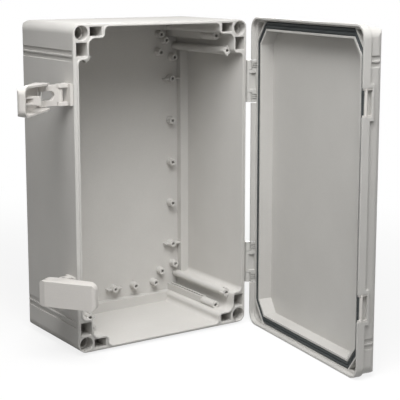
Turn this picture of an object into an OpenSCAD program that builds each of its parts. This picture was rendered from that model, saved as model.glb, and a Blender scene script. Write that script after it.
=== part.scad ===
// Hinged plastic wall enclosure: a deep base, a shallow lid on two hinges, two draw latches.
// Frame: X to the right, Z up, the wall behind the box is the plane Y = 0, the lid faces -Y.

/* [Base] */
// Width of the base
body_w = 166; // [140:1:240]
// Height of the base
body_h = 266; // [226:1:360]
// Depth of the base, back face to front rim
body_d = 94; // [80:1:140]
// Radius of the four long corners of the base
corner_r = 8; // [6:0.5:9]
// Rounding of the edges round the back face
back_edge_r = 4; // [2:0.5:6]
// Thickness of the two side walls
side_wall = 4.2; // [3:0.1:6]
// Thickness of the top and bottom walls
end_wall = 2.5; // [2:0.1:4]
// Thickness of the back wall
back_wall = 3; // [2:0.1:5]
// Step round the foot of the back wall, measured forwards
ledge_d = 6; // [3:0.5:9]
// Height of the sealing ridge on the front rim
ridge_h = 0.6; // [0.4:0.1:1]
// Width of the sealing ridge
ridge_w = 1.3; // [0.8:0.1:1.8]
// Bevel on the outer edge of the front rim
rim_bevel = 0.8; // [0.6:0.1:1]

/* [Corner towers] */
// Distance of the wall mounting holes from each outer face
mount_inset = 7.25; // [7:0.05:7.5]
// Radius of the wide screwdriver bore of a tower
tower_bore_r = 5.9; // [5.2:0.1:5.9]
// Radius of the narrower stretch of that bore
tower_waist_r = 4.8; // [4:0.1:5]
// Depth of the wide stretch below the rim
tower_wide_d = 9; // [4:0.5:20]
// Radius of the mounting screw hole through the back
mount_r = 2.6; // [2:0.05:3.5]
// Thickness under the mounting screw's head
mount_seat = 6; // [4:0.5:10]
// Reach of a tower along each wall
tower_long = 28; // [27:0.5:31]
// Reach of a tower in from the top or bottom
tower_in_z = 11.5; // [11:0.1:13]
// Reach of a tower in from the side
tower_in_x = 13.4; // [13:0.1:15]
// Thickness of the wall round the cored pockets
pocket_wall = 1.5; // [1.2:0.1:2]
// Depth of the cored pockets below the rim
pocket_d = 60; // [30:1:65]

/* [Inside] */
// Height of the standoffs on the back wall
boss_h = 6.5; // [5:0.5:14]
// Radius of the standoffs
boss_r = 3; // [2.6:0.1:3.2]
// Radius of the pilot holes in standoffs and posts
pilot_r = 1.4; // [0.8:0.05:1.6]
// Standoff pitch in the upright columns
column_pitch = 38.5; // [24:0.5:39]
// Distance of the upright columns in from the outer side
column_inset = 21; // [20:0.5:26]
// Standoff pitch in the row at the bottom
row_pitch = 21.5; // [15:0.5:22]
// Distance of the row in from the outer end
row_inset = 21.5; // [19:0.5:23]
// Radius of the panel posts beside the towers
post_r = 3.4; // [3.2:0.1:3.8]
// How far below the rim the panel posts by the end walls stop
end_post_drop = 15; // [8:0.5:40]
// How far below the rim the panel posts by the side walls stop
side_post_drop = 7; // [5:0.5:40]

/* [Side grooves] */
// Width of a groove
groove_w = 3.6; // [2:0.1:5]
// Depth of a groove
groove_d = 0.9; // [0.3:0.1:1]
// Land between the two grooves of a pair
groove_gap = 1.4; // [1:0.1:3]
// Distance from the end of the base to the first groove
groove_inset = 20.9; // [16:0.1:24]

/* [Lid] */
// How far the lid's skirt stands proud of the base on each side
skirt_proud = 2; // [1.8:0.1:2.6]
// Gap between the skirt and the base
skirt_gap = 0.3; // [0.25:0.05:0.5]
// How far the skirt overlaps the base
skirt_overlap = 3; // [2:0.1:3.2]
// Depth of the skirt
skirt_d = 6.5; // [5.5:0.1:8]
// Whole depth of the lid, skirt included
lid_d = 19; // [17:0.5:30]
// How far the lid's sides stand in from the skirt
lid_step = 1.8; // [1.4:0.1:1.9]
// Rounding of the lid's front edges
lid_edge_r = 6; // [2:0.5:6.5]
// Thickness of the lid's face
lid_face = 3; // [2:0.1:4]
// Distance of the inner lip in from the lid's outer side
lip_in_x = 9; // [8.6:0.1:10]
// Distance of the inner lip in from the lid's outer ends
lip_in_z = 9.5; // [9:0.1:11.5]
// Thickness of the inner lip
lip_w = 1.8; // [1.2:0.1:2.5]
// Corner cut of the lip, along X
lip_cut_x = 10; // [8:0.5:14]
// Corner cut of the lip, along Z
lip_cut_z = 13; // [10:0.5:18]
// Gap between the base's ridge and the lid's seat
seal_gap = 0.3; // [0.25:0.05:0.6]
// Width of the gasket along the sides
gasket_w = 4.4; // [3:0.1:4.6]
// Width of the gasket along the ends
gasket_end_w = 6.4; // [5:0.1:6.6]
// Thickness of the gasket
gasket_t = 3.4; // [2.5:0.1:4.5]
// Depth of the triangular pockets in the lid's corners
corner_pocket_d = 8; // [3:0.5:9]
// Opening angle of the lid as drawn
lid_open = 82.5; // [0:0.5:120]

/* [Hinges] */
// Height of each hinge above or below the middle
hinge_z = 80; // [60:0.5:84]
// Height of a hinge
hinge_h = 36; // [30:0.5:46]
// Height of the barrel on the lid's leaf
barrel_h = 19; // [12:0.5:22]
// Radius of the barrels
barrel_r = 3; // [2.6:0.1:3.1]
// Radius of the hinge pin
hinge_pin_r = 1.5; // [1:0.05:1.9]
// Distance of the hinge axis from the side wall
hinge_out = 5; // [4.9:0.1:7]
// Distance of the hinge axis behind the skirt's rim
hinge_back = 0.5; // [0.3:0.1:2]
// Thickness of the bracket's plate on the wall
hinge_plate_t = 1.4; // [1:0.1:1.5]
// Length of the bracket's plate on the wall
hinge_plate_l = 16; // [10:0.5:30]

/* [Latches] */
// Height of each latch above or below the middle
latch_z = 78; // [60:0.5:84]
// Distance of the bracket's pivot from the side wall
pivot_out = 8; // [7.6:0.1:9]
// Distance of the bracket's pivot behind the front rim
pivot_back = 9; // [8.5:0.5:14]
// Length of the link between its two pivots
link_l = 18; // [17.5:0.5:24]
// Radius of the latch pins
latch_pin_r = 1.2; // [0.8:0.05:1.4]
// Height of the bracket
bracket_h = 17.2; // [16.6:0.2:18]
// Thickness of each bracket ear
ear_t = 3; // [2:0.1:3.4]
// Thickness of the bracket's plate
bracket_t = 2.5; // [1.5:0.1:3]
// Width of the link across its two arms
link_w = 16.4; // [15:0.2:17]
// Thickness of the link's arms
link_t = 3.4; // [2.4:0.1:4.2]
// Width of the window between the link's arms
link_window = 7.4; // [5:0.2:8]
// Thickness of the handle's walls
handle_wall = 1.8; // [1.3:0.1:2]
// How much wider the handle is at its far end than at its pivot, on each side
handle_flare = 1; // [0.9:0.1:2]
// Length of the handle beyond the hook
finger_l = 15; // [8:0.5:17]
// Width of the hook
hook_w = 7; // [6:0.5:15]
// Width of each notch in the skirt and of the keeper in it
notch_h = 21.5; // [20:0.5:25]
// Radius of the keeper's rod
keeper_r = 1.2; // [0.9:0.05:1.2]
// Upper latch as drawn: direction of its link
upper_link_angle = 190; // [150:1:195]
// Upper latch as drawn: direction of its handle
upper_handle_angle = 228; // [205:1:250]
// Lower latch as drawn: direction of its link
lower_link_angle = 190; // [165:1:195]
// Lower latch as drawn: direction of its handle
lower_handle_angle = 306; // [285:1:308]

/* [Hidden] */
$fn = 48;

cut = 1;                                // how far a cutter runs past a face
pin_fit = 0.06;                         // radial play of a pin in its bore
play = 0.3;                             // side play between moving pieces
abs_grey = [0.80, 0.80, 0.78];
rubber = [0.24, 0.25, 0.26];
steel = [0.72, 0.73, 0.74];

half_w = body_w/2;
half_h = body_h/2;
lid_w = body_w + 2*skirt_proud;
lid_h = body_h + 2*skirt_proud;
skirt_t = skirt_proud - skirt_gap;      // thickness of the skirt
lid_side = lid_w/2 - lid_step;          // the lid's side, from the middle
rim_z = body_d - skirt_overlap;         // the skirt's rim, along the depth
step_z = rim_z + skirt_d;               // where the skirt steps in to the lid's side
face_z = rim_z + lid_d;                 // the lid's outer face
seat_z = body_d + ridge_h + seal_gap;   // the lid's seat: its lip and its outer flange
gasket_end_more = gasket_end_w - gasket_w;   // how much wider the gasket is along the ends
gasket_drop = 0.2;                      // the gasket's face lies this far below the lip
hinge_x = half_w + hinge_out;
axis_z = rim_z - hinge_back;            // the hinge axis, along the depth
ear_h = (hinge_h - barrel_h)/2 - play;  // height of one hinge ear
leaf_seat = 1.8;                        // the leaf's seat in the lid's flange, in from the base's side

pivot_x = -(half_w + pivot_out);
pivot_z = body_d - pivot_back;
ear_r = 3.3;                            // round of the latch ears
hub_r = 2.3;                            // round of the link's barrels
barrel_l = bracket_h - 2*ear_t - 2*0.2; // the link's barrel between the ears
keeper_out = 1;                         // the keeper's rod, out from the base's side
keeper_z = body_d + 0.3;                // and along the depth
hook_play = 0.5;                        // play between the hook and the rod
hook_z = keeper_z + keeper_r + hook_play;   // where the hook meets the rod
hook_t = 1.6;                           // thickness of the hook
hook_l = link_l + hook_z - pivot_z;     // the hook, from the handle's pivot
hook_in = pivot_out + 0.7;              // its tip, inwards from the pivot
notch_z = hook_z + hook_t + 1.6;        // bottom of the notch, along the depth
notch_in = 1.1;                         // the notch's floor, in from the base's side
frame_t = 2;                            // the raised frame past the bottom of the notch
frame_over = 3;                         // and past its two ends

face_t = 1.8;                           // thickness of the handle's face
handle_out = ear_r + 0.4 + face_t;      // the handle's face, outwards from the pivot
rim_near = pivot_out - 1;               // the handle's rim by the pivot, inwards
rim_far = 1;                            // and at its far end
handle_back = 5;                        // the handle's end behind its pivot
handle_front = hook_l + hook_t + finger_l;  // and its far end
near_half = bracket_h/2 + 0.3 + handle_wall;    // half width of the handle by its pivot
far_half = near_half + handle_flare;    // and at its far end

// Local frame of the case pieces: Z runs from the back face to the front, Y is up
module upright() rotate([90, 0, 0]) children();

// One copy in each corner, with the corner's outer point at the origin and the case towards + +
module at_corners(w, h) {
    for (sx = [0, 1], sy = [0, 1])
        mirror([sx, 0, 0]) mirror([0, sy, 0])
            translate([-w/2, -h/2]) children();
}

// Sign of the upper and of the lower copy of a piece
function side_of(upper) = upper ? 1 : -1;

module rounded_rect(w, h, r) {
    square([w - 2*r, h], center = true);
    square([w, h - 2*r], center = true);
    for (sx = [-1, 1], sy = [-1, 1])
        translate([sx*(w/2 - r), sy*(h/2 - r)]) circle(r);
}

// Square of sides a and b from the origin, with its far corner rounded
module soft_corner(a, b, r) {
    square([a - r, b]);
    square([a, b - r]);
    translate([a - r, b - r]) circle(r);
}

// Side outline of a tub: rounded at the closed end, bevelled at the open one
module tub_outline(w, d, r, bevel) {
    translate([-w/2, r]) square([w, d - r - bevel]);
    translate([-w/2 + r, 0]) square([w - 2*r, r + bevel]);
    for (sx = [-1, 1])
        translate([sx*(w/2 - r), r]) circle(r);
    polygon([[-w/2, d - bevel], [w/2, d - bevel], [w/2 - bevel, d], [-w/2 + bevel, d]]);
}

// Solid tub with its closed end at Z = 0
module tub(w, h, d, corner, edge, bevel) {
    intersection() {
        linear_extrude(d) rounded_rect(w, h, corner);
        rotate([90, 0, 0]) linear_extrude(h, center = true) tub_outline(w, d, edge, bevel);
        rotate([90, 0, 90]) linear_extrude(w, center = true) tub_outline(h, d, edge, bevel);
    }
}

// Fills an inner corner at the origin with a round of radius r
module inner_round(r) {
    difference() {
        square(r);
        translate([r, r]) circle(r);
    }
}

// Outline of a corner tower, drawn smaller by g: two lobes, rounded into each other and into the walls
module tower_outline(g) {
    convex_r = 3.5;
    hollow_r = 6;
    foot_r = 4;
    soft_corner(tower_long - g, tower_in_z - g, convex_r - g);
    soft_corner(tower_in_x - g, tower_long - g, convex_r - g);
    translate([tower_in_x - g, tower_in_z - g]) inner_round(hollow_r + g);
    translate([tower_long - g, end_wall - g]) inner_round(foot_r + g);
    translate([side_wall - g, tower_long - g]) inner_round(foot_r + g);
}

// Outline of the hollow of the base, drawn larger by g
module hollow_outline(g) {
    difference() {
        square([body_w - 2*side_wall + 2*g, body_h - 2*end_wall + 2*g], center = true);
        at_corners(body_w, body_h) tower_outline(g);
    }
}

// Standoffs by each tower, and two more by the upper ones: in from the outer side and from the end
tower_bosses = [[tower_long + 5, tower_long + 3.5], [18.5, tower_long + 8.5]];
top_bosses = [[tower_long - 1, 21], [tower_long + 4.5, 15.5]];
// Places of the standoffs on the back wall: two columns, a row at the bottom and those by the towers
boss_places = concat(
    [for (sx = [-1, 1], i = [-2:2]) [sx*(half_w - column_inset), i*column_pitch]],
    [for (i = [-2:2]) [i*row_pitch, row_inset - half_h]],
    [for (sx = [-1, 1], sz = [-1, 1], p = tower_bosses) [sx*(half_w - p.x), sz*(half_h - p.y)]],
    [for (sx = [-1, 1], p = top_bosses) [sx*(half_w - p.x), half_h - p.y]]);
// Panel posts on a tower, by the end wall and by the side wall: in from the corner's two outer faces
end_post = [21, tower_in_z + 2.6];
side_post = [tower_in_x + 1.6, tower_long - 1.5];
end_post_z = body_d - end_post_drop;
side_post_z = body_d - side_post_drop;

// Standoffs with cross ribs: short on the row's middle one, up to the wall on a column's end ones
module standoffs() {
    foot_r = boss_r + 0.6;
    rib_l = 15;
    rib_t = 1.4;
    rib_h = boss_h - 1.5 + cut;
    for (p = boss_places)
        translate([p.x, p.y, back_wall - cut]) cylinder(r1 = foot_r, r2 = boss_r, h = boss_h + cut);
    translate([-rib_l/2, row_inset - half_h - rib_t/2, back_wall - cut]) cube([rib_l, rib_t, rib_h]);
    for (sx = [0, 1], i = [-2, 2]) mirror([sx, 0, 0])
        translate([half_w - column_inset - rib_l/2, i*column_pitch - rib_t/2, back_wall - cut])
            cube([rib_l/2 + column_inset - side_wall + cut, rib_t, rib_h]);
}

// Fixings on each tower. By the end wall: a panel post with two guide ribs behind it and a slot
// between them. By the side wall: a panel post along the whole depth with a cross clip at its front.
module tower_posts() {
    end_post_l = 20;
    guide_t = 1.5;
    guide_slot = 2.4;
    guide_h = 6;
    clip_t = 1.4;
    clip_w = 9;
    clip_d = 5;
    at_corners(body_w, body_h) {
        translate([end_post.x, end_post.y, end_post_z - end_post_l]) cylinder(r = post_r, h = end_post_l);
        for (x = [-guide_slot/2 - guide_t, guide_slot/2])
            translate([end_post.x + x, tower_in_z - cut, back_wall - cut])
                cube([guide_t, guide_h + cut, end_post_z - end_post_l - back_wall + 2*cut]);
        translate([side_post.x, side_post.y, back_wall - cut])
            cylinder(r = post_r, h = side_post_z - back_wall + cut);
        translate([side_post.x, side_post.y - clip_t/2, side_post_z - clip_d])
            cube([clip_w/2, clip_t, clip_d]);
        translate([side_post.x - clip_t/2, side_post.y - clip_w/2, side_post_z - clip_d])
            cube([clip_t, clip_w, clip_d]);
    }
}

module pilot_holes() {
    post_hole_d = 12;
    for (p = boss_places)
        translate([p.x, p.y, back_wall + 1]) cylinder(r = pilot_r, h = boss_h + cut);
    at_corners(body_w, body_h) {
        translate([end_post.x, end_post.y, end_post_z - post_hole_d])
            cylinder(r = pilot_r, h = post_hole_d + cut);
        translate([side_post.x, side_post.y, side_post_z - post_hole_d])
            cylinder(r = pilot_r, h = post_hole_d + cut);
    }
}

// Cuts made in each tower: the stepped screw bore and the two cored pockets
module tower_cuts() {
    pocket_r = 1;
    near = mount_inset + tower_bore_r + pocket_wall;
    far = tower_long - 2.5;
    at_corners(body_w, body_h) {
        translate([mount_inset, mount_inset, -cut]) cylinder(r = mount_r, h = body_d + 2*cut);
        translate([mount_inset, mount_inset, mount_seat]) cylinder(r = tower_waist_r, h = body_d);
        translate([mount_inset, mount_inset, body_d - tower_wide_d])
            cylinder(r = tower_bore_r, h = body_d);
        translate([0, 0, body_d - pocket_d]) linear_extrude(body_d) {
            translate([near, end_wall])
                soft_corner(far - near, tower_in_z - pocket_wall - end_wall, pocket_r);
            translate([end_wall, near])
                soft_corner(tower_in_x - pocket_wall - end_wall, far - near, pocket_r);
        }
    }
}

// Two pairs of grooves on each side of a case piece w wide, from depth z0 to z1
module side_grooves(w, z0, z1) {
    for (sx = [-1, 1], sy = [-1, 1], k = [0, 1])
        translate([sx*w/2, sy*(half_h - groove_inset - k*(groove_w + groove_gap) - groove_w/2), 0])
            translate([-groove_d, -groove_w/2, z0]) cube([2*groove_d, groove_w, z1 - z0]);
}

module base_shell() {
    groove_stop = 3.2;
    recess_r = 3;
    color(abs_grey) upright() difference() {
        union() {
            difference() {
                tub(body_w, body_h, body_d, corner_r, back_edge_r, rim_bevel);
                translate([0, 0, back_wall + ledge_d]) linear_extrude(body_d) hollow_outline(0);
                translate([0, 0, back_wall]) linear_extrude(ledge_d + cut) intersection() {
                    hollow_outline(0);
                    rounded_rect(body_w - 2*(tower_in_x - 0.9), body_h - 2*tower_in_z, recess_r);
                }
            }
            translate([0, 0, body_d - cut]) linear_extrude(ridge_h + cut) difference() {
                hollow_outline(ridge_w);
                hollow_outline(0);
            }
            standoffs();
            tower_posts();
        }
        pilot_holes();
        tower_cuts();
        side_grooves(body_w, -cut, body_d - groove_stop);
    }
}

// Turns a piece drawn on the closed lid to the angle at which the lid stands open
module on_lid() {
    translate([hinge_x, -axis_z, 0]) rotate([0, 0, lid_open])
        translate([-hinge_x, axis_z, 0]) children();
}

// Eight-sided outline of the inner lip, drawn larger by g with its sides moved out evenly,
// and with its two ends moved out by e more
module lip_outline(g, e = 0) {
    len = norm([lip_cut_x, lip_cut_z]);
    nx = lip_cut_z/len;
    nz = lip_cut_x/len;
    w = lid_w/2 - lip_in_x + g;
    h = lid_h/2 - lip_in_z + g + e;
    cz = lip_cut_z + g*(1 - (1 - nx)/nz) + e;
    cx = cz*lip_cut_x/lip_cut_z;
    polygon([[w, h - cz], [w - cx, h], [cx - w, h], [-w, h - cz],
             [-w, cz - h], [cx - w, -h], [w - cx, -h], [w, cz - h]]);
}

// The lid's corner pockets: what lies outside the gasket's corner cuts, inside the lid's wall
module corner_pockets() {
    wall = 2.2;
    difference() {
        rounded_rect(2*(lid_side - wall), lid_h - 2*lid_step - 2*wall, corner_r - wall);
        lip_outline(gasket_w + 1.3, gasket_end_more);
    }
}

module lid_shell() {
    skirt_r = corner_r + skirt_proud;
    inner_r = corner_r + skirt_gap;
    hinge_notch_h = hinge_h + 2*0.5;
    color(abs_grey) on_lid() upright() difference() {
        union() {
            translate([0, 0, rim_z]) linear_extrude(skirt_d) rounded_rect(lid_w, lid_h, skirt_r);
            translate([0, 0, face_z]) mirror([0, 0, 1])
                tub(2*lid_side, lid_h - 2*lid_step, lid_d - 2, corner_r, lid_edge_r, rim_bevel);
            for (s = [-1, 1])
                translate([-lid_w/2, s*latch_z - notch_h/2 - frame_over, step_z - cut])
                    cube([lid_step + cut, notch_h + 2*frame_over, notch_z + frame_t - step_z + cut]);
        }
        // the hollow that takes the base's rim, and the gasket's channel
        translate([0, 0, rim_z - cut]) linear_extrude(seat_z - rim_z + cut)
            rounded_rect(lid_w - 2*skirt_t, lid_h - 2*skirt_t, inner_r);
        translate([0, 0, rim_z - cut]) linear_extrude(seat_z + gasket_drop + gasket_t - rim_z + cut)
            difference() {
                lip_outline(gasket_w, gasket_end_more);
                lip_outline(0);
            }
        // the tray inside the lip, and the pockets in the corners
        translate([0, 0, rim_z - cut]) linear_extrude(lid_d - lid_face + cut) lip_outline(-lip_w);
        translate([0, 0, seat_z - cut]) linear_extrude(corner_pocket_d + cut) corner_pockets();
        // notches through the skirt for the keepers and for the hinges
        for (s = [-1, 1]) {
            translate([-lid_w/2 - cut, s*latch_z - notch_h/2, rim_z - cut])
                cube([skirt_proud + notch_in + cut, notch_h, notch_z - rim_z + cut]);
            translate([lid_w/2 - skirt_t, s*hinge_z - hinge_notch_h/2, rim_z - cut])
                cube([skirt_t + cut, hinge_notch_h, skirt_d + cut]);
            translate([half_w - leaf_seat, s*hinge_z - hinge_notch_h/2, rim_z - cut])
                cube([leaf_seat + skirt_proud, hinge_notch_h, skirt_d + cut]);
        }
        side_grooves(2*lid_side, step_z, face_z + cut);
    }
}

module lid_gasket() {
    color(rubber) on_lid() upright()
        translate([0, 0, seat_z + gasket_drop]) linear_extrude(gasket_t) difference() {
            lip_outline(gasket_w, gasket_end_more);
            lip_outline(0);
        }
}

module hinge_bracket(upper) {
    plate_start = barrel_r + 0.8;
    color(abs_grey) translate([half_w, -axis_z, side_of(upper)*hinge_z]) difference() {
        union() {
            translate([0, plate_start, -hinge_h/2]) cube([hinge_plate_t, hinge_plate_l, hinge_h]);
            for (s = [0, 1]) mirror([0, 0, s]) translate([0, 0, hinge_h/2 - ear_h])
                linear_extrude(ear_h) {
                    translate([hinge_out, 0]) circle(barrel_r);
                    polygon([[0, 1], [hinge_out - barrel_r, 0], [hinge_out, 0],
                             [hinge_out + barrel_r, 0], [hinge_plate_t, 3*barrel_r], [0, 3*barrel_r]]);
                }
        }
        translate([hinge_out, 0, -hinge_h/2 - cut])
            cylinder(r = hinge_pin_r + pin_fit, h = hinge_h + 2*cut);
    }
}

// Lid leaf: a plate in the skirt's notch with a seat in the flange and a foot on the lid's side, and a
// barrel on the axis. The web to the barrel is cored on the side towards the base.
module hinge_leaf(upper) {
    leaf_in = skirt_gap;
    leaf_out = hinge_out - barrel_r - 0.4;
    rim_gap = hinge_back + 0.6;
    foot_y = -(step_z - axis_z);
    foot_l = 3.8;
    foot_in = lid_side - half_w;
    tooth = 0.9;
    slot_skin = 0.5;
    seat_y = -(seat_z + 0.4 - axis_z);
    core_h = 14;
    core_in = 2.4;
    core_y = -4.6;
    color(abs_grey) on_lid() translate([half_w, -axis_z, side_of(upper)*hinge_z]) difference() {
        union() {
            translate([leaf_in, foot_y, -hinge_h/2])
                cube([leaf_out - leaf_in, -foot_y - rim_gap, hinge_h]);
            translate([0.2 - leaf_seat, foot_y, -hinge_h/2])
                cube([leaf_seat + leaf_in, seat_y - foot_y, hinge_h]);
            translate([foot_in, foot_y - foot_l, -hinge_h/2])
                cube([leaf_out - foot_in, foot_l, hinge_h]);
            translate([hinge_out, 0, -barrel_h/2]) cylinder(r = barrel_r, h = barrel_h);
            translate([0, 0, -barrel_h/2]) linear_extrude(barrel_h)
                polygon([[leaf_in, foot_y], [leaf_in, -rim_gap], [hinge_out - barrel_r, 0],
                         [hinge_out + barrel_r, 0], [leaf_out, foot_y]]);
        }
        translate([hinge_out, 0, -hinge_h/2 - cut])
            cylinder(r = hinge_pin_r + pin_fit, h = hinge_h + 2*cut);
        // combs of three blind slots above and below the barrel, open to the inside and to the rim
        for (s = [-1, 1], k = [0:2])
            translate([-leaf_seat, foot_y + slot_skin, s*(barrel_h/2 + 2.2 + 2*k*tooth) - tooth/2])
                cube([leaf_seat + leaf_out - slot_skin, -foot_y, tooth]);
        translate([-leaf_seat, core_y, -core_h/2]) cube([leaf_seat + core_in, -core_y + cut, core_h]);
    }
}

module hinge_pin(upper) {
    color(steel) translate([hinge_x, -axis_z, side_of(upper)*hinge_z - hinge_h/2])
        cylinder(r = hinge_pin_r, h = hinge_h);
}

function link_angle(upper) = upper ? upper_link_angle : lower_link_angle;
function handle_angle(upper) = upper ? upper_handle_angle : lower_handle_angle;

// Puts a piece at a latch's bracket pivot
module at_pivot(upper) translate([pivot_x, -pivot_z, side_of(upper)*latch_z]) children();

// Puts a piece on a latch's link, with the link along X from the bracket's pivot
module on_link(upper) at_pivot(upper) rotate([0, 0, link_angle(upper)]) children();

// Puts a piece on a latch's handle, with the handle along X from its own pivot and its face to -Y
module on_handle(upper)
    on_link(upper) translate([link_l, 0, 0])
        rotate([0, 0, handle_angle(upper) - link_angle(upper)]) children();

module latch_bracket(upper) {
    rod_gap = 0.9;
    plate_front = keeper_z - keeper_r - rod_gap - pivot_z;
    plate_back = 8;
    color(abs_grey) at_pivot(upper) difference() {
        union() {
            translate([pivot_out - bracket_t, -plate_front, -bracket_h/2])
                cube([bracket_t, plate_front + plate_back, bracket_h]);
            for (s = [0, 1]) mirror([0, 0, s]) translate([0, 0, bracket_h/2 - ear_t])
                linear_extrude(ear_t) {
                    circle(ear_r);
                    translate([0, -ear_r]) square([pivot_out, 2*ear_r]);
                }
        }
        translate([0, 0, -bracket_h/2 - cut])
            cylinder(r = latch_pin_r + pin_fit, h = bracket_h + 2*cut);
    }
}

module latch_link(upper) {
    yoke_x = ear_r + 0.5;
    window_x = yoke_x + 2.4 + link_window/2;
    color(abs_grey) on_link(upper) difference() {
        union() {
            translate([0, 0, -barrel_l/2]) cylinder(r = hub_r, h = barrel_l);
            translate([0, -link_t/2, -barrel_l/2]) cube([yoke_x + 1, link_t, barrel_l]);
            translate([yoke_x, -link_t/2, -link_w/2]) cube([link_l - yoke_x, link_t, link_w]);
            translate([link_l, 0, -link_w/2]) cylinder(r = hub_r, h = link_w);
        }
        // the window is round towards the bracket and open towards the handle
        rotate([90, 0, 0]) linear_extrude(4*hub_r, center = true) {
            translate([window_x, 0]) circle(link_window/2);
            translate([window_x, -link_window/2]) square([link_l, link_window]);
        }
        for (x = [0, link_l]) translate([x, 0, -link_w/2 - cut])
            cylinder(r = latch_pin_r + pin_fit, h = link_w + 2*cut);
    }
}

// Plan of the handle, drawn smaller by t: both ends rounded, widening from the pivot to the far end
module handle_plan(t, front, back) {
    end_l = 7;
    r = 6 - t;
    a = near_half - t;
    b = far_half - t;
    translate([-back + r, -a]) square([link_l/4 + back - r, 2*a]);
    translate([-back, -a + r]) square([back + r, 2*(a - r)]);
    polygon([[link_l/4, -a], [front - end_l, -b], [front - end_l, b], [link_l/4, a]]);
    translate([front - end_l - cut, -b + r]) square([end_l + cut, 2*(b - r)]);
    translate([front - end_l, -b]) square([end_l - r, 2*b]);
    for (s = [-1, 1]) {
        translate([front - r, s*(b - r)]) circle(r);
        translate([-back + r, s*(a - r)]) circle(r);
    }
}

// Cross outline of the handle, drawn smaller by t: a trough that narrows to its face
module handle_cross(t, bottom) {
    narrow = 1.4;
    deep = rim_near + cut;
    slope = narrow/(handle_out + rim_far);
    w0 = far_half - narrow - t + slope*bottom;
    w1 = w0 + slope*(handle_out - bottom + deep);
    polygon([[bottom - handle_out, -w0], [bottom - handle_out, w0], [deep, w1], [deep, -w1]]);
}

// Side outline of the handle: a straight face with a round far end, deep by the pivot and slim at the end
module handle_side() {
    r = 3;
    deep_x = 0.45*link_l;
    bent_x = 2;
    bent_in = 2.2;
    polygon([[-handle_back, bent_in - handle_out], [bent_x, -handle_out],
             [handle_front - r, -handle_out], [handle_front, r - handle_out],
             [handle_front, rim_far], [deep_x, rim_near], [0, rim_near], [-handle_back, -1]]);
    translate([handle_front - r, r - handle_out]) circle(r);
}

module latch_handle(upper) {
    end_t = 2;
    gusset_t = 1.4;
    gusset_l = 8;
    color(abs_grey) on_handle(upper) difference() {
        union() {
            difference() {
                intersection() {
                    linear_extrude(2*far_half + cut, center = true) handle_side();
                    rotate([90, 0, 90]) linear_extrude(4*handle_front, center = true) handle_cross(0, 0);
                    rotate([90, 0, 0]) linear_extrude(4*pivot_out, center = true)
                        handle_plan(0, handle_front, handle_back);
                }
                intersection() {
                    rotate([90, 0, 90]) linear_extrude(4*handle_front, center = true)
                        handle_cross(handle_wall, face_t);
                    rotate([90, 0, 0]) linear_extrude(4*pivot_out, center = true)
                        handle_plan(handle_wall, handle_front - end_t, handle_back + 2*cut);
                }
            }
            // the hook that catches the keeper's rod, with two gussets behind it
            translate([hook_l, cut - handle_out, -hook_w/2])
                cube([hook_t, handle_out - cut + hook_in, hook_w]);
            for (s = [-1, 1]) translate([hook_l, 0, s*hook_w/3 - gusset_t/2]) linear_extrude(gusset_t)
                polygon([[0, cut - handle_out], [hook_t + gusset_l, cut - handle_out],
                         [hook_t, hook_in/3], [0, hook_in/3]]);
        }
        cylinder(r = latch_pin_r + pin_fit, h = 4*far_half, center = true);
    }
}

module bracket_pin(upper) {
    color(steel) at_pivot(upper) cylinder(r = latch_pin_r, h = bracket_h, center = true);
}

module handle_pin(upper) {
    color(steel) on_handle(upper) cylinder(r = latch_pin_r, h = 2*near_half - 0.4, center = true);
}

// Keeper in a notch of the lid: a rod between two cheeks
module latch_keeper(upper) {
    cheek_t = 1.5;
    color(abs_grey) on_lid() upright() translate([-half_w, side_of(upper)*latch_z, 0]) {
        translate([-keeper_out, 0, keeper_z]) rotate([90, 0, 0])
            cylinder(r = keeper_r, h = notch_h, center = true);
        for (s = [0, 1]) mirror([0, s, 0])
            translate([-skirt_proud + 0.2, notch_h/2 - cheek_t, rim_z + 0.5])
                cube([skirt_t - 0.2, cheek_t, notch_z - rim_z - 0.5]);
    }
}

base_shell();
lid_shell();
lid_gasket();
hinge_bracket(true);  // hinge_bracket_upper
hinge_bracket(false);  // hinge_bracket_lower
hinge_leaf(true);  // hinge_leaf_upper
hinge_leaf(false);  // hinge_leaf_lower
hinge_pin(true);  // hinge_pin_upper
hinge_pin(false);  // hinge_pin_lower
latch_bracket(true);  // latch_bracket_upper
latch_bracket(false);  // latch_bracket_lower
latch_link(true);  // latch_link_upper
latch_link(false);  // latch_link_lower
latch_handle(true);  // latch_handle_upper
latch_handle(false);  // latch_handle_lower
bracket_pin(true);  // bracket_pin_upper
bracket_pin(false);  // bracket_pin_lower
handle_pin(true);  // handle_pin_upper
handle_pin(false);  // handle_pin_lower
latch_keeper(true);  // latch_keeper_upper
latch_keeper(false);  // latch_keeper_lower
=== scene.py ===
import math

import bpy
import numpy as np
from mathutils import Matrix, Vector


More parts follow.
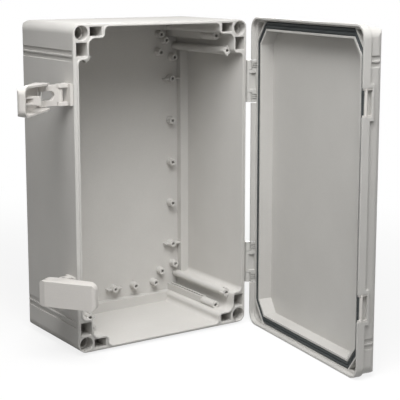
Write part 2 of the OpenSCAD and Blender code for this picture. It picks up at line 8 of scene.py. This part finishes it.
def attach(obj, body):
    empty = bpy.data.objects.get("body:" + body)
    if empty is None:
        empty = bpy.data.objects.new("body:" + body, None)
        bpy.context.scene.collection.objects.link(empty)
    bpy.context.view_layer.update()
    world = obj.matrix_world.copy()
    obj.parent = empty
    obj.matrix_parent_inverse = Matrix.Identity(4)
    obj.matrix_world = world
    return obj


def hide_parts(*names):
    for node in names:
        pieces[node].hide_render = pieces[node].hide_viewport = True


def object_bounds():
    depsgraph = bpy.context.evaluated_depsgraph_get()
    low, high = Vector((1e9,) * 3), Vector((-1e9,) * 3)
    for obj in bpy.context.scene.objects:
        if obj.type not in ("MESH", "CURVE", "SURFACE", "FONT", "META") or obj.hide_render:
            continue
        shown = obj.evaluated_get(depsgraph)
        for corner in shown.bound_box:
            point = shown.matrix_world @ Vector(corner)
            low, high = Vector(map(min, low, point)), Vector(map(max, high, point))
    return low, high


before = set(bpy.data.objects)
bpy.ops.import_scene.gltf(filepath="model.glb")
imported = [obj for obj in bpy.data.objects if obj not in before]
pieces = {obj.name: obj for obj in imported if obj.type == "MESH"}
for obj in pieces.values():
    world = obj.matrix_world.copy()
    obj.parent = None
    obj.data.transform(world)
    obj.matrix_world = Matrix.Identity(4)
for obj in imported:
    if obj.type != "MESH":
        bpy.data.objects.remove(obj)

cad_box = [list(corner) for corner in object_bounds()]

# Base shell
# The deep tub that goes on the wall, injection moulded in one piece of light grey ABS.
# The mould's faces are spark eroded, so the plastic has a fine matt grain and soft edges.
base_grey = (0.619, 0.606, 0.582)


def wire(tree, *links):
    """Joins pairs of sockets, each given as (node, output, node, input), by name or by number."""
    for giver, out_socket, taker, in_socket in links:
        tree.links.new(giver.outputs[out_socket], taker.inputs[in_socket])


def shader(name):
    """A new node material with its principled shader: (material, tree, shader)."""
    material = bpy.data.materials.new(name)
    material.use_nodes = True
    tree = material.node_tree
    return material, tree, tree.nodes["Principled BSDF"]


def noise(tree, place, scale, detail=2.0, rough=0.5):
    """Smooth noise read at the piece's own coordinates, scale waves to the metre."""
    found = tree.nodes.new("ShaderNodeTexNoise")
    found.inputs["Scale"].default_value = scale
    found.inputs["Detail"].default_value = detail
    found.inputs["Roughness"].default_value = rough
    wire(tree, (place, "Object", found, "Vector"))
    return found


def remap(tree, giver, socket, before, after):
    """A value carried from the span before, a pair of ends, to the span after."""
    found = tree.nodes.new("ShaderNodeMapRange")
    for end, value in zip(("From Min", "From Max", "To Min", "To Max"), before + after):
        found.inputs[end].default_value = value
    wire(tree, (giver, socket, found, "Value"))
    return found


def spread(tree, waves, low, high):
    """Noise carried from 0.3 to 0.7, the span that it fills, to the span from low to high."""
    return remap(tree, waves, 0, (0.3, 0.7), (low, high))


def combine(tree, operation, first, second):
    """The named operation on two numbers, each given as (node, output)."""
    found = tree.nodes.new("ShaderNodeMath")
    found.operation = operation
    wire(tree, (*first, found, 0), (*second, found, 1))
    return found


def bump(tree, strength, depth):
    """A surface that rises by its height times depth, in metres, its lean weighed by strength."""
    found = tree.nodes.new("ShaderNodeBump")
    found.inputs["Strength"].default_value = strength
    found.inputs["Distance"].default_value = depth
    return found


def moulded_plastic(name, colour, rough, gloss, grain, edge):
    """Moulded plastic: clouds of slightly lighter and darker colour, a fine grain in the surface,
    a broad shallow waviness that breaks up the sheen, and edges that turn over a small radius,
    with a painted highlight that makes them a little paler there. gloss is the level of the mirror
    part, 0.5 for a clear lacquer, grain is the depth of the grain and edge the radius, both in
    metres."""
    cloud_scale, speck_scale, grain_scale, wave_scale = 22.0, 900.0, 2600.0, 60.0
    cloud_shade, speck_shade, edge_highlight_gain = 0.025, 0.015, 0.06
    edge_lean = (0.98, 0.75)
    rough_change, wave_depth = 0.05, 0.00004
    material, tree, skin = shader(name)
    place = tree.nodes.new("ShaderNodeTexCoord")
    clouds = noise(tree, place, cloud_scale, detail=3.0)
    specks = noise(tree, place, speck_scale)
    cells = noise(tree, place, grain_scale)
    waves = noise(tree, place, wave_scale)

    cloudy = spread(tree, clouds, 1 - cloud_shade, 1 + cloud_shade)
    specked = spread(tree, specks, 1 - speck_shade, 1 + speck_shade)
    shade = combine(tree, "MULTIPLY", (cloudy, 0), (specked, 0))

    turned = tree.nodes.new("ShaderNodeBevel")
    turned.samples = 6
    turned.inputs["Radius"].default_value = edge
    flat = tree.nodes.new("ShaderNodeNewGeometry")
    lean = tree.nodes.new("ShaderNodeVectorMath")
    lean.operation = "DOT_PRODUCT"
    wire(tree, (turned, 0, lean, 0), (flat, "Normal", lean, 1))
    # Painted highlight: where the rounded normal leans off the flat one, the colour is made up to
    # 6 percent paler.
    painted_edge_highlight = remap(tree, lean, "Value", edge_lean, (1.0, 1 + edge_highlight_gain))
    tone_and_edge_highlight = combine(tree, "MULTIPLY", (shade, 0), (painted_edge_highlight, 0))
    tint = tree.nodes.new("ShaderNodeVectorMath")
    tint.operation = "SCALE"
    tint.inputs[0].default_value = colour
    wire(tree, (tone_and_edge_highlight, 0, tint, "Scale"), (tint, 0, skin, "Base Color"))

    wavy = spread(tree, waves, rough - rough_change, rough + rough_change)
    broad = bump(tree, strength=0.5, depth=wave_depth)
    fine = bump(tree, strength=0.6, depth=grain)
    wire(
        tree,
        (wavy, 0, skin, "Roughness"),
        (turned, 0, broad, "Normal"), (waves, 0, broad, "Height"),
        (broad, 0, fine, "Normal"), (cells, 0, fine, "Height"),
        (fine, 0, skin, "Normal"),
    )
    skin.inputs["IOR"].default_value = 1.53
    skin.inputs["Specular IOR Level"].default_value = gloss
    return material


def dress(material, *names):
    """Puts one material on every slot of the named CAD nodes."""
    for name in names:
        for slot in range(len(pieces[name].data.materials)):
            pieces[name].data.materials[slot] = material


case_abs = moulded_plastic(
    "case_abs", base_grey, rough=0.8, gloss=0.02, grain=0.000012, edge=0.0007
)
dress(case_abs, "base_shell")

# Lid shell
# The stepped cover with its skirt and inner lip, moulded in the same ABS as the base.
# Its mould is polished more than the base's, so the plastic has a clearer sheen.
# Painted shade: the lid's grey is set darker than the base's, though both are the same ABS.
lid_shaded_grey = (0.578, 0.567, 0.544)
lid_abs = moulded_plastic(
    "lid_abs", lid_shaded_grey, rough=0.38, gloss=0.25, grain=0.000008, edge=0.0007
)
dress(lid_abs, "lid_shell")

# Lid gasket
# An eight-sided seal of dark grey foamed rubber, poured into the lid's channel and cured there.
# It sinks along both edges, a fine groove runs along its middle, and its skin is matt and pebbled.
lip_half, lip_cut, lip_turn = (0.0760, 0.1255), (0.0100, 0.0130), 0.0004
channel_half, channel_cut, channel_turn = (0.0804, 0.1319), (0.013772, 0.017903), 0.004
seal_face, seal_back = 0.0951, 0.0985
edge_sink, groove_sink, groove_width = 0.0014, 0.0010, 0.085
face_steps, corner_steps = 33, 9
sharp_turn = math.radians(50)
lid_pin = np.array((0.088, -0.0905, 0.0))
lid_open = math.radians(82.5)
seal_dark, seal_pale = (0.030, 0.036, 0.038, 1), (0.052, 0.060, 0.062, 1)
seal_rough = (0.55, 0.72)
pebble_scale, pebble_depth, pool_scale = 1400.0, 0.00006, 90.0


def eight_sided(half, cut, turn):
    """A closed outline of eight sides with soft corners, as rows of x and z. half is its half
    width and half height, cut is what a corner takes off them, and each corner C bends over the
    length turn from one side to the next as C + (1 - s)^2 times the way back + s^2 times the way
    on, s from 0 to 1."""
    wide, high = half
    off_x, off_z = cut
    corners = np.array([
        (wide, high - off_z), (wide - off_x, high), (off_x - wide, high), (-wide, high - off_z),
        (-wide, off_z - high), (off_x - wide, -high), (wide - off_x, -high), (wide, off_z - high),
    ])
    back = np.roll(corners, 1, axis=0) - corners
    on = np.roll(corners, -1, axis=0) - corners
    back *= turn / np.linalg.norm(back, axis=1, keepdims=True)
    on *= turn / np.linalg.norm(on, axis=1, keepdims=True)
    s = np.linspace(0.0, 1.0, corner_steps)[None, :, None]
    return (corners[:, None] + (1 - s) ** 2 * back[:, None] + s ** 2 * on[:, None]).reshape(-1, 2)


def seal_surface():
    """The seal's closed surface, its profile carried round from the lip's outline to the
    channel's. At u from 0 at the lip to 1 at the channel's wall, the face is sunk by edge_sink
    times |2u - 1|^6, and by groove_sink in a bell round u = 1/2. Drawn with the lid shut, then
    turned open about its pin."""
    u = np.linspace(0.0, 1.0, face_steps)
    groove = groove_sink * np.exp(-((u - 0.5) / groove_width) ** 2)
    sunk = edge_sink * np.abs(2 * u - 1) ** 6 + groove
    profile_u = np.concatenate([u, [1.0, 0.0]])
    profile_y = -np.concatenate([seal_face + sunk, [seal_back, seal_back]])
    inner = eight_sided(lip_half, lip_cut, lip_turn)
    outer = eight_sided(channel_half, channel_cut, channel_turn)
    plan = inner[:, None] + profile_u[None, :, None] * (outer - inner)[:, None]
    depth = np.broadcast_to(profile_y, plan.shape[:2])
    shut = np.stack([plan[..., 0], depth, plan[..., 1]], axis=-1)
    across, along = math.cos(lid_open), math.sin(lid_open)
    swing = np.array([(across, -along, 0.0), (along, across, 0.0), (0.0, 0.0, 1.0)])
    rows = np.arange(depth.size).reshape(depth.shape)
    next_row = np.roll(rows, -1, axis=0)
    far, next_far = np.roll(rows, -1, axis=1), np.roll(next_row, -1, axis=1)
    quads = np.stack([rows, next_row, next_far, far], axis=-1)
    return ((shut - lid_pin) @ swing.T + lid_pin).reshape(-1, 3), quads.reshape(-1, 4)


seal_points, seal_quads = seal_surface()
seal_mesh = bpy.data.meshes.new("lid_seal")
seal_mesh.from_pydata(seal_points.tolist(), [], seal_quads.tolist())
seal_mesh.shade_smooth()
seal_mesh.set_sharp_from_angle(angle=sharp_turn)
lid_seal = bpy.data.objects.new("lid_seal", seal_mesh)
bpy.context.scene.collection.objects.link(lid_seal)
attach(lid_seal, "lid")
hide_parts("lid_gasket")

seal, seal_tree, seal_skin = shader("seal_foam")
seal_place = seal_tree.nodes.new("ShaderNodeTexCoord")
pebbles = noise(seal_tree, seal_place, pebble_scale, detail=4.0, rough=0.6)
pools = noise(seal_tree, seal_place, pool_scale)
seal_ramp = seal_tree.nodes.new("ShaderNodeValToRGB")
seal_ramp.color_ramp.elements[0].position = 0.3
seal_ramp.color_ramp.elements[0].color = seal_dark
seal_ramp.color_ramp.elements[1].position = 0.7
seal_ramp.color_ramp.elements[1].color = seal_pale
seal_bump = bump(seal_tree, strength=0.7, depth=pebble_depth)
wire(
    seal_tree,
    (pools, 0, seal_ramp, 0), (seal_ramp, 0, seal_skin, "Base Color"),
    (spread(seal_tree, pools, *seal_rough), 0, seal_skin, "Roughness"),
    (pebbles, 0, seal_bump, "Height"), (seal_bump, 0, seal_skin, "Normal"),
)
seal_mesh.materials.append(seal)

# Hinges
# Two butt hinges: an eared plate on the base's right wall and a slotted leaf in the lid's notch.
# They are moulded in a tougher grey plastic than the case and snap into its walls.
hinge_grey = (0.560, 0.552, 0.530)


def both_of(*names):
    """The names of the upper and the lower node of each named fitting."""
    return [f"{name}_{where}" for name in names for where in ("upper", "lower")]


hinge_plastic = moulded_plastic(
    "hinge_plastic", hinge_grey, rough=0.45, gloss=0.2, grain=0.00001, edge=0.0004
)
dress(hinge_plastic, *both_of("hinge_bracket", "hinge_leaf"))

# Draw latches
# Each has a bracket, a link, a hollow handle with its hook, and a keeper in the lid's notch.
# They are moulded in a paler, glossier plastic that bends without breaking.
latch_grey = (0.655, 0.631, 0.600)
latch_plastic = moulded_plastic(
    "latch_plastic", latch_grey, rough=0.36, gloss=0.3, grain=0.000008, edge=0.0005
)
dress(latch_plastic, *both_of("latch_bracket", "latch_link", "latch_handle", "latch_keeper"))

# Pins
# The pivots of the hinges and latches, cut from drawn steel rod and pressed into the ears.
# The drawing leaves fine bright marks along the rod.
steel_dark, steel_pale = (0.42, 0.42, 0.41, 1), (0.62, 0.62, 0.60, 1)
steel_rough = (0.25, 0.4)
streak_scale, streak_stretch = 3000.0, (1.0, 1.0, 0.03)
steel, steel_tree, steel_skin = shader("pin_steel")
steel_place = steel_tree.nodes.new("ShaderNodeTexCoord")
drawn = steel_tree.nodes.new("ShaderNodeMapping")
drawn.inputs["Scale"].default_value = streak_stretch
streaks = steel_tree.nodes.new("ShaderNodeTexNoise")
streaks.inputs["Scale"].default_value = streak_scale
steel_ramp = steel_tree.nodes.new("ShaderNodeValToRGB")
steel_ramp.color_ramp.elements[0].color = steel_dark
steel_ramp.color_ramp.elements[1].color = steel_pale
wire(
    steel_tree,
    (steel_place, "Object", drawn, "Vector"), (drawn, 0, streaks, "Vector"),
    (streaks, 0, steel_ramp, 0), (steel_ramp, 0, steel_skin, "Base Color"),
    (spread(steel_tree, streaks, *steel_rough), 0, steel_skin, "Roughness"),
)
steel_skin.inputs["Metallic"].default_value = 1.0
dress(steel, *both_of("hinge_pin", "bracket_pin", "handle_pin"))

# Studio
# A white sweep under the box, with one large soft light above the front and one low behind it.
# The sweep and the surroundings show white to the eye, and a soft shadow stays under the box.
floor_gap, sweep_half = 0.0002, 4.0
floor_z = cad_box[0][2] - floor_gap
sweep_plan = sweep_half * np.array([(-1, -1), (1, -1), (1, 1), (-1, 1)])
sweep_points = np.column_stack([sweep_plan, np.full(len(sweep_plan), floor_z)])
sweep_mesh = bpy.data.meshes.new("sweep")
sweep_mesh.from_pydata(sweep_points.tolist(), [], [(0, 1, 2, 3)])
sweep = bpy.data.objects.new("sweep", sweep_mesh)
bpy.context.scene.collection.objects.link(sweep)


def seen_or_mirrored(tree):
    """1 for a ray seen by eye, in a reflection or through glass, and 0 for one that lights."""
    path = tree.nodes.new("ShaderNodeLightPath")
    seen = combine(tree, "MAXIMUM", (path, "Is Camera Ray"), (path, "Is Glossy Ray"))
    return combine(tree, "MAXIMUM", (seen, 0), (path, "Is Transmission Ray"))


glow_reach, glow_share = (0.25, 0.65), (0.82, 1.0)
paper, paper_tree, paper_skin = shader("sweep_paper")
paper_skin.inputs["Base Color"].default_value = (0.92, 0.92, 0.92, 1)
paper_skin.inputs["Roughness"].default_value = 0.9
paper_skin.inputs["Specular IOR Level"].default_value = 0.0
paper_dull = paper_tree.nodes.new("ShaderNodeBsdfDiffuse")
paper_dull.inputs["Color"].default_value = (0.30, 0.30, 0.30, 1)
paper_white = paper_tree.nodes.new("ShaderNodeEmission")
paper_white.inputs["Strength"].default_value = 1.0
paper_place = paper_tree.nodes.new("ShaderNodeTexCoord")
paper_far = paper_tree.nodes.new("ShaderNodeVectorMath")
paper_far.operation = "LENGTH"
wire(paper_tree, (paper_place, "Object", paper_far, 0))
paper_glow = remap(paper_tree, paper_far, "Value", glow_reach, glow_share)
paper_glow.interpolation_type = "SMOOTHSTEP"
paper_shown = paper_tree.nodes.new("ShaderNodeMixShader")
paper_mix = paper_tree.nodes.new("ShaderNodeMixShader")
wire(
    paper_tree,
    (paper_glow, 0, paper_shown, 0),
    (paper_skin, 0, paper_shown, 1), (paper_white, 0, paper_shown, 2),
    (seen_or_mirrored(paper_tree), 0, paper_mix, 0),
    (paper_dull, 0, paper_mix, 1), (paper_shown, 0, paper_mix, 2),
    (paper_mix, 0, paper_tree.nodes["Material Output"], "Surface"),
)
sweep_mesh.materials.append(paper)

room_rise, room_fill = (0.0, 0.8), (0.46, 0.05)
room = bpy.data.worlds.new("room")
room.use_nodes = True
bpy.context.scene.world = room
room_tree = room.node_tree
fill = room_tree.nodes["Background"]
fill.inputs["Color"].default_value = (1.0, 0.99, 0.97, 1)
room_way = room_tree.nodes.new("ShaderNodeTexCoord")
room_parts = room_tree.nodes.new("ShaderNodeSeparateXYZ")
room_level = remap(room_tree, room_parts, "Z", room_rise, room_fill)
white = room_tree.nodes.new("ShaderNodeBackground")
white.inputs["Color"].default_value = (1, 1, 1, 1)
room_mix = room_tree.nodes.new("ShaderNodeMixShader")
wire(
    room_tree,
    (room_way, "Generated", room_parts, 0), (room_level, 0, fill, "Strength"),
    (seen_or_mirrored(room_tree), 0, room_mix, 0),
    (fill, 0, room_mix, 1), (white, 0, room_mix, 2),
    (room_mix, 0, room_tree.nodes["World Output"], "Surface"),
)


def aimed(place, aim):
    """The matrix that puts a lamp or the camera at place and turns it towards aim."""
    turn = (Vector(aim) - Vector(place)).to_track_quat("-Z", "Y").to_matrix().to_4x4()
    return Matrix.Translation(place) @ turn


def soft_light(name, place, aim, size, power, cone):
    """A square area lamp with sides of size metres, turned from its place to its aim, that shines
    into a cone of the given angle in degrees, as a softbox with a grid does."""
    lamp = bpy.data.lights.new(name, "AREA")
    lamp.size = size
    lamp.energy = power
    lamp.spread = math.radians(cone)
    holder = bpy.data.objects.new(name, lamp)
    bpy.context.scene.collection.objects.link(holder)
    holder.matrix_world = aimed(place, aim)


soft_light(
    "key", place=(-0.17, -0.40, 0.49), aim=(-0.03, -0.21, -0.02), size=0.45, power=2.3, cone=110
)
soft_light(
    "rear", place=(0.60, 0.90, 0.25), aim=(0.0, -0.05, 0.0), size=0.6, power=6.0, cone=180
)

# Camera
# It stands to the left of the box and a little above its middle, as in the photograph.
# The small shift lowers the frame, which keeps the upright edges nearer to parallel.
eye_place, eye_aim = (-0.4980, -0.8900, 0.1723), (0.0351, -0.0940, 0.0092)
lens = bpy.data.cameras.new("eye")
lens.lens = 103.4
lens.shift_y = -0.08
lens.sensor_width = 36.0
lens.clip_start = 0.01
viewer = bpy.data.objects.new("eye", lens)
bpy.context.scene.collection.objects.link(viewer)
viewer.matrix_world = aimed(eye_place, eye_aim)
bpy.context.scene.camera = viewer
bpy.context.scene.view_settings.view_transform = "Standard"
